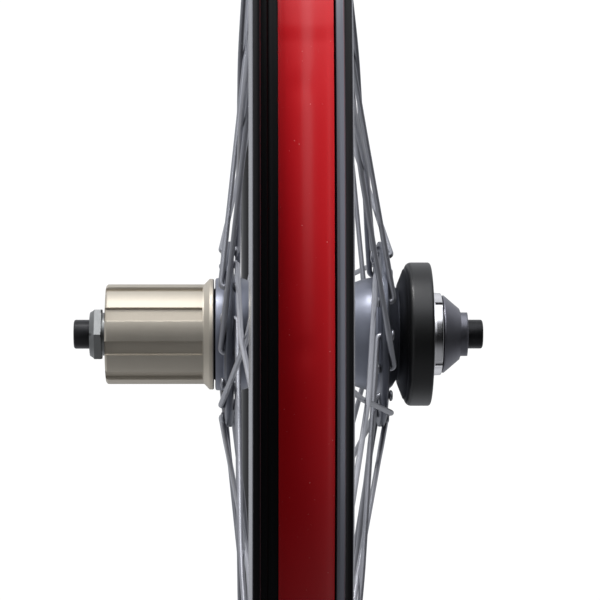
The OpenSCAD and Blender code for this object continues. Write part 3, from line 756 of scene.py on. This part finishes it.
def sleeve_outline():
    """(radius, y, share): the outside with the grooves' share of depth, then back inside."""
    splines = [(BEARING_MOUTH_R, FREEHUB_OUT, 0), (SPLINE_R - 0.7 * MM, FREEHUB_OUT, 0)]
    splines += [(SPLINE_R - 0.35 * MM, FREEHUB_OUT + 0.2 * MM, 0.6)]
    splines += [(SPLINE_R, y, 1) for y in (FREEHUB_OUT + 0.7 * MM, -55 * MM, -40 * MM, SHOULDER - 0.7 * MM)]
    collar = [(0, SHOULDER - 0.6 * MM), (0, SHOULDER - 0.25 * MM), (0.1, SHOULDER)]
    collar += [(1.8, SHOULDER + 1.6 * MM), (1.9, SHOULDER + 1.8 * MM)]
    collar += [(1.9, FREEHUB_IN - 0.3 * MM), (1.6, FREEHUB_IN)]
    outside = splines + [(SPLINE_R + rise * MM, y, 0) for rise, y in collar]
    nose = [(NOSE_R, FREEHUB_IN), (NOSE_R, NOSE_END), (NOSE_BORE_R, NOSE_END), (NOSE_BORE_R, -24 * MM)]
    inner_seat = [(10.6 * MM, -24 * MM), (10.6 * MM, -25 * MM), (SLEEVE_BORE_R, -25 * MM)]
    ring_groove = [(SLEEVE_BORE_R, -51.1 * MM), (12.7 * MM, -51.1 * MM)]
    ring_groove += [(12.7 * MM, -52.1 * MM), (SLEEVE_BORE_R, -52.1 * MM)]
    mouth = [(SLEEVE_BORE_R, -52.9 * MM), (SLEEVE_BORE_R + 0.15 * MM, -53 * MM)]
    mouth += [(BEARING_MOUTH_R - 0.1 * MM, -53 * MM), (BEARING_MOUTH_R, -52.9 * MM)]
    return outside + [(radius, y, 0) for radius, y in nose + inner_seat + ring_groove + mouth]


champagne = Finish("champagne_anodised_sleeve")
radius, along, turn = champagne.round_place()
turning = champagne.vector(along * 6000, radius * 2000, turn * 4)
fine_lines = champagne.grain(turning, 1, 2, 0.6)
broaching = champagne.vector(along * 60, radius * 3000, turn * 900)
broached = champagne.grain(broaching, 1, 3, 0.6, 1.0)
stain = champagne.grain(champagne.place(), 130, 4, 0.6)
# Painted shade: the groove floors are painted a darker champagne. The same mask also gives them their
# broached roughness and bump.
in_groove = radius.over(SPLINE_R - 0.25 * MM, SPLINE_R - 0.7 * MM)
pale = champagne.mix(stain, (0.56, 0.51, 0.425), (0.64, 0.59, 0.5))
champagne.set(
    Base_Color=champagne.mix(in_groove * 0.25, pale, (0.42, 0.37, 0.3)),
    Metallic=0.95,
    Roughness=0.41 + fine_lines * 0.1 + broached * in_groove * 0.15 + stain * 0.08,
)
champagne.bump(fine_lines * 0.6 + broached * in_groove + stain * 0.2, 0.00003, 0.4)
sleeve = add_piece("splined_sleeve", *lathe(sleeve_outline(), 1080, cut_grooves))
dress(sleeve, champagne, "freehub", "freehub_body", 30)

# ---------------------------------------------------------------- axle and locknuts
# A hollow aluminium axle, turned, threaded at both ends and anodised black. A plain hexagon nut
# clamps the freehub side, and a stepped dark cap closes the far side against the frame.

HALF_HUB = 65 * MM
AXLE_R = 7.5 * MM
STUB_R = 5 * MM
THREAD_R = 4.8 * MM
AXLE_END = 70.5 * MM
BORE_R = 2.7 * MM
COLLAR_R = 9 * MM
MIDDLE_R = 8.2 * MM
DRIVE_STEP_Y = -59 * MM
FAR_STEP_Y = 58 * MM


def axle_outline():
    """A stub, the threads and collars between the bearings, and the other stub."""
    stub = [(BORE_R, -AXLE_END + 0.35 * MM), (BORE_R + 0.35 * MM, -AXLE_END)]
    stub += [(STUB_R - 0.6 * MM, -AXLE_END), (STUB_R - 0.15 * MM, -AXLE_END + 0.25 * MM)]
    stub += [(STUB_R, -AXLE_END + 0.65 * MM), (STUB_R, -HALF_HUB - 0.15 * MM)]
    stub += [(THREAD_R, -HALF_HUB - 0.15 * MM)]
    middle = [(THREAD_R, DRIVE_STEP_Y), (AXLE_R, DRIVE_STEP_Y), (AXLE_R, DRIVE_SEAT_Y)]
    middle += [(COLLAR_R, DRIVE_SEAT_Y), (COLLAR_R, 1 * MM), (MIDDLE_R, 2 * MM), (MIDDLE_R, 33 * MM)]
    middle += [(COLLAR_R, 34 * MM), (COLLAR_R, FAR_SEAT_Y), (AXLE_R, FAR_SEAT_Y)]
    middle += [(AXLE_R, FAR_STEP_Y), (THREAD_R, FAR_STEP_Y)]
    return stub + middle + mirrored(stub)


axle_skin = Finish("black_anodised_axle")
radius, along, turn = axle_skin.round_place()
rings = axle_skin.grain(axle_skin.vector(along * 5200, radius * 5200, turn * 3), 1, 2, 0.6)
handling = axle_skin.vector(along * 700, radius * 300, turn * 20)
scratches = axle_skin.grain(handling, 1, 4, 0.75, 5.0).over(0.6, 0.72)
axle_black = axle_skin.mix(rings, (0.012, 0.012, 0.013), (0.03, 0.03, 0.032))
axle_skin.set(
    Base_Color=axle_skin.mix(scratches * 0.2, axle_black, (0.35, 0.35, 0.36)),
    Metallic=0.6,
    Roughness=0.3 + rings * 0.15,
)
axle_skin.bump(rings + scratches * 0.4, 0.00003, 0.4)
spindle = add_piece("axle_spindle", *lathe(axle_outline(), 160))
dress(spindle, axle_skin, "axle", "axle", 30)

NUT_FLATS = 17 * MM


def metres(outline):
    return [(radius * MM, y * MM) for radius, y in outline]


def nut_outline():
    """From the countersunk mouth out round the coned hexagon, then along the sleeve and back."""
    face = [(4.83, -64.6), (5.15, -65), (7.3, -65), (7.5, -64.94), (10, -63.3)]
    back = [(10, -61.35), (9.8, -61.05), (9.3, -60.9), (7.5, -60.9)]
    collar = [(7.4, -60.8), (7.4, -59.1), (7.3, -59.02), (4.83, -59.02)]
    return metres(face + back + collar)


def mill_hexagon(turn, radius, y):
    """Cuts a point back to the hexagon, which has flats at the top and the bottom."""
    to_flat = math.radians((turn * 360 + 30) % 60 - 30)
    return min(radius, NUT_FLATS / 2 / math.cos(to_flat)), y


nut_metal = Finish("turned_nut_alloy")
radius, along, turn = nut_metal.round_place()
faced = nut_metal.grain(nut_metal.vector(radius * 5200, along * 5200, turn * 3), 1, 2, 0.6)
handled = nut_metal.grain(nut_metal.place(), 260, 4, 0.65)
nut_metal.set(
    Base_Color=nut_metal.mix(handled, (0.19, 0.195, 0.19), (0.28, 0.285, 0.28)),
    Metallic=0.95,
    Roughness=0.22 + faced * 0.16 + handled * 0.08,
)
nut_metal.bump(faced + handled * 0.3, 0.00003, 0.4)
nut = add_piece("hexagon_locknut", *lathe(nut_outline(), 360, mill_hexagon))
dress(nut, nut_metal, "axle", "drive_locknut", 25)

CAP_FLATS_HALF = 7.5 * MM
CAP_FLATS_LONG = 2.5 * MM


def end_cap_outline():
    """The broad rim, the cone down to the neck, and the face that meets the frame."""
    rim = [(7.53, 56.4), (13.1, 56.4), (13.35, 56.5), (13.4, 56.7), (13.4, 57), (13.3, 57.15)]
    cone = [(9.0, 62.2), (8.85, 62.4), (8.72, 62.7), (8.7, 64.5), (8.6, 64.75), (8.3, 65)]
    return metres(rim + cone + [(5.15, 65), (4.83, 64.6), (4.83, 58.03), (7.53, 58.03)])


def mill_flats(turn, radius, y):
    """Cuts two spanner flats into the neck."""
    if y < HALF_HUB - CAP_FLATS_LONG or radius < CAP_FLATS_HALF:
        return radius, y
    return min(radius, CAP_FLATS_HALF / max(0.05, abs(math.cos(turn * math.tau)))), y


cap_metal = Finish("dark_end_cap_alloy")
radius, along, turn = cap_metal.round_place()
skim = cap_metal.grain(cap_metal.vector(along * 5200, radius * 5200, turn * 3), 1, 2, 0.6)
grease = cap_metal.grain(cap_metal.place(), 200, 4, 0.6)
cap_metal.set(
    Base_Color=cap_metal.mix(grease, (0.17, 0.17, 0.195), (0.27, 0.27, 0.3)),
    Metallic=0.85,
    Roughness=0.22 + skim * 0.14 + grease * 0.08,
)
cap_metal.bump(skim + grease * 0.3, 0.00003, 0.4)
end_cap = add_piece("stepped_end_cap", *lathe(end_cap_outline(), 240, mill_flats))
dress(end_cap, cap_metal, "axle", "far_end_cap", 25)

# ---------------------------------------------------------------- sensor cap
# A moulded black housing on the far side of the hub, sealed by an O ring on the shell's neck. A
# lid closes it, and a polished ring with key slots holds the lid.



def cap_outline():
    """Out from the neck, round the housing's wall, then back past the O ring's groove."""
    outline = [(15.93, 41), (17.4, 41), (22.3, 42.9)]
    outline += arc((22.6, 45.7), 2.2, 278, 350, 8)
    outline += [(24.8, 45.8), (24.8, 51.2)]
    outline += arc((23.9, 51.4), 0.9, 0, 90, 6)
    outline += [(23.35, 52.3), (23.2, 52.2), (23.2, 45.4), (22.3, 44.3), (15.93, 44.3)]
    outline += [(15.93, 42.6), (16.6, 42.68), (17.2, 42.4), (17.26, 42), (17.2, 41.6)]
    return metres(outline + [(16.6, 41.32), (15.93, 41.4)])


moulded = Finish("satin_black_moulding")
radius, along, turn = moulded.round_place()
spark = moulded.grain(moulded.place(), 2600, 2, 0.6)
flow = moulded.grain(moulded.place(), 60, 4, 0.6)
wiping = moulded.vector(along * 2200, radius * 2200, turn * 14)
marks = moulded.grain(wiping, 1, 4, 0.7, 9.0).over(0.64, 0.74)
moulded.set(
    Base_Color=moulded.mix(flow * 0.7 + marks * 0.3, (0.003, 0.003, 0.003), (0.009, 0.009, 0.008)),
    Roughness=0.3 + spark * 0.08 + flow * 0.06 + marks * 0.1,
    Specular_IOR_Level=0.6,
)
moulded.bump(spark + flow * 0.4, 0.00002, 0.4)
housing = add_piece("sensor_housing", *lathe(cap_outline(), 320))
dress(housing, moulded, "wheel", "sensor_cap", 30)


def lid_outline():
    """A flat lid with a skirt in its bore and two shallow rings turned into its face."""
    skirt = [(9.2, 43.4), (10.1, 43.4), (10.1, 50.6), (23.1, 50.6), (23.1, 51.8), (22.95, 52)]
    broad = [(22.4, 52), (22.2, 51.86), (21.9, 51.78), (20.2, 51.78), (19.9, 51.86), (19.7, 52)]
    narrow = [(16.4, 52), (16.2, 51.9), (15.9, 51.86), (15.5, 51.9), (15.3, 52)]
    return metres(skirt + broad + narrow + [(9.2, 52)])


lid = add_piece("housing_lid", *lathe(lid_outline(), 320))
dress(lid, moulded, "wheel", "sensor_cap_lid", 30)


def lock_ring_outline():
    outline = [(9.2, 52.05), (13.9, 52.05), (14.2, 52.2), (14.3, 52.5), (14.28, 54), (14.2, 55.4)]
    outline += arc((13.7, 55.6), 0.5, 10, 90, 6)
    return metres(outline + [(9.5, 56.1), (9.2, 55.8)])


polished = Finish("polished_ring_alloy")
radius, along, turn = polished.round_place()
buffed = polished.grain(polished.vector(along * 4200, radius * 4200, turn * 5), 1, 3, 0.6)
touched = polished.grain(polished.place(), 240, 4, 0.6)
polished.set(
    Base_Color=polished.mix(touched, (0.8, 0.79, 0.8), (0.9, 0.89, 0.9)),
    Metallic=1.0,
    Roughness=0.08 + buffed * 0.12 + touched * 0.06,
)
polished.bump(buffed, 0.00002, 0.25)
lock_ring = add_piece("polished_lock_ring", *lathe(lock_ring_outline(), 256))
key_slots = []
for degrees in (45, 135, 225, 315):
    spot = polar(14.8 * MM, degrees, 54.6 * MM)
    key_slots.append((spot - Vector((0, 1.1 * MM, 0)), spot + Vector((0, 3 * MM, 0)), 1.6 * MM))
drill(lock_ring, key_slots)
dress(lock_ring, polished, "wheel", "cap_lock_ring", 30)

# ---------------------------------------------------------------- bearings, ratchet and circuit
# What the hub holds: hardened steel races, balls and pawls, rubber seals, nylon cages, alloy
# spacers, and behind the lid a small board fed by three button cells.


def inner_finish(name, low, high, metallic, rough, scale, ringed):
    """A turned or moulded finish between two colours, ringed round the axle or grainy."""
    made = Finish(name)
    radius, along, turn = made.round_place()
    if ringed:
        marks = made.grain(made.vector(along * scale, radius * scale, turn * 3), 1, 3, 0.6)
    else:
        marks = made.grain(made.place(), scale, 3, 0.6)
    film = made.grain(made.place(), 180, 4, 0.6, 2.0)
    made.set(
        Base_Color=made.mix(marks * 0.5 + film * 0.5, low, high),
        Metallic=metallic,
        Roughness=rough + marks * 0.12 + film * 0.1,
    )
    made.bump(marks + film * 0.3, 0.00002, 0.35)
    return made


RINGED, GRAINY = True, False
INNER = (
    ("ground_bearing_steel", (0.5, 0.5, 0.52), (0.68, 0.68, 0.7),
     1.0, 0.14, 4200, RINGED, ("race",)),
    ("lapped_ball_steel", (0.66, 0.66, 0.68), (0.8, 0.8, 0.82),
     1.0, 0.06, 900, GRAINY, ("balls",)),
    ("nylon_cage", (0.24, 0.16, 0.07), (0.34, 0.24, 0.12),
     0.0, 0.4, 1500, GRAINY, ("cage",)),
    ("seal_rubber_black", (0.012, 0.012, 0.012), (0.03, 0.03, 0.03),
     0.0, 0.5, 2200, RINGED, ("seals", "freehub_seal")),
    ("turned_spacer_alloy", (0.16, 0.16, 0.17), (0.28, 0.28, 0.29),
     0.9, 0.28, 4600, RINGED, ("spacer",)),
    ("hardened_tool_steel", (0.22, 0.22, 0.23), (0.42, 0.42, 0.44),
     1.0, 0.22, 2600, GRAINY, ("ratchet_ring", "pawl_1", "pawl_2", "pawl_3")),
    ("blued_spring_steel", (0.1, 0.1, 0.13), (0.26, 0.26, 0.3),
     1.0, 0.25, 2400, GRAINY, ("circlip", "pawl_springs")),
    ("o_ring_rubber_brown", (0.05, 0.012, 0.008), (0.09, 0.022, 0.014),
     0.0, 0.4, 1800, GRAINY, ("o_ring",)),
    ("green_board", (0.008, 0.08, 0.03), (0.02, 0.16, 0.06),
     0.0, 0.3, 700, GRAINY, ("circuit_board",)),
    ("nickel_cell_can", (0.6, 0.59, 0.56), (0.75, 0.74, 0.7),
     1.0, 0.2, 1400, GRAINY, ("button_cells",)),
    ("sprung_bronze", (0.5, 0.32, 0.12), (0.66, 0.45, 0.2),
     1.0, 0.22, 1600, GRAINY, ("cell_contacts",)),
)
for *recipe, endings in INNER:
    finish = inner_finish(*recipe)
    for node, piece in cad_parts.items():
        if node.endswith(endings):
            for held in piece.material_slots:
                held.material = finish.made
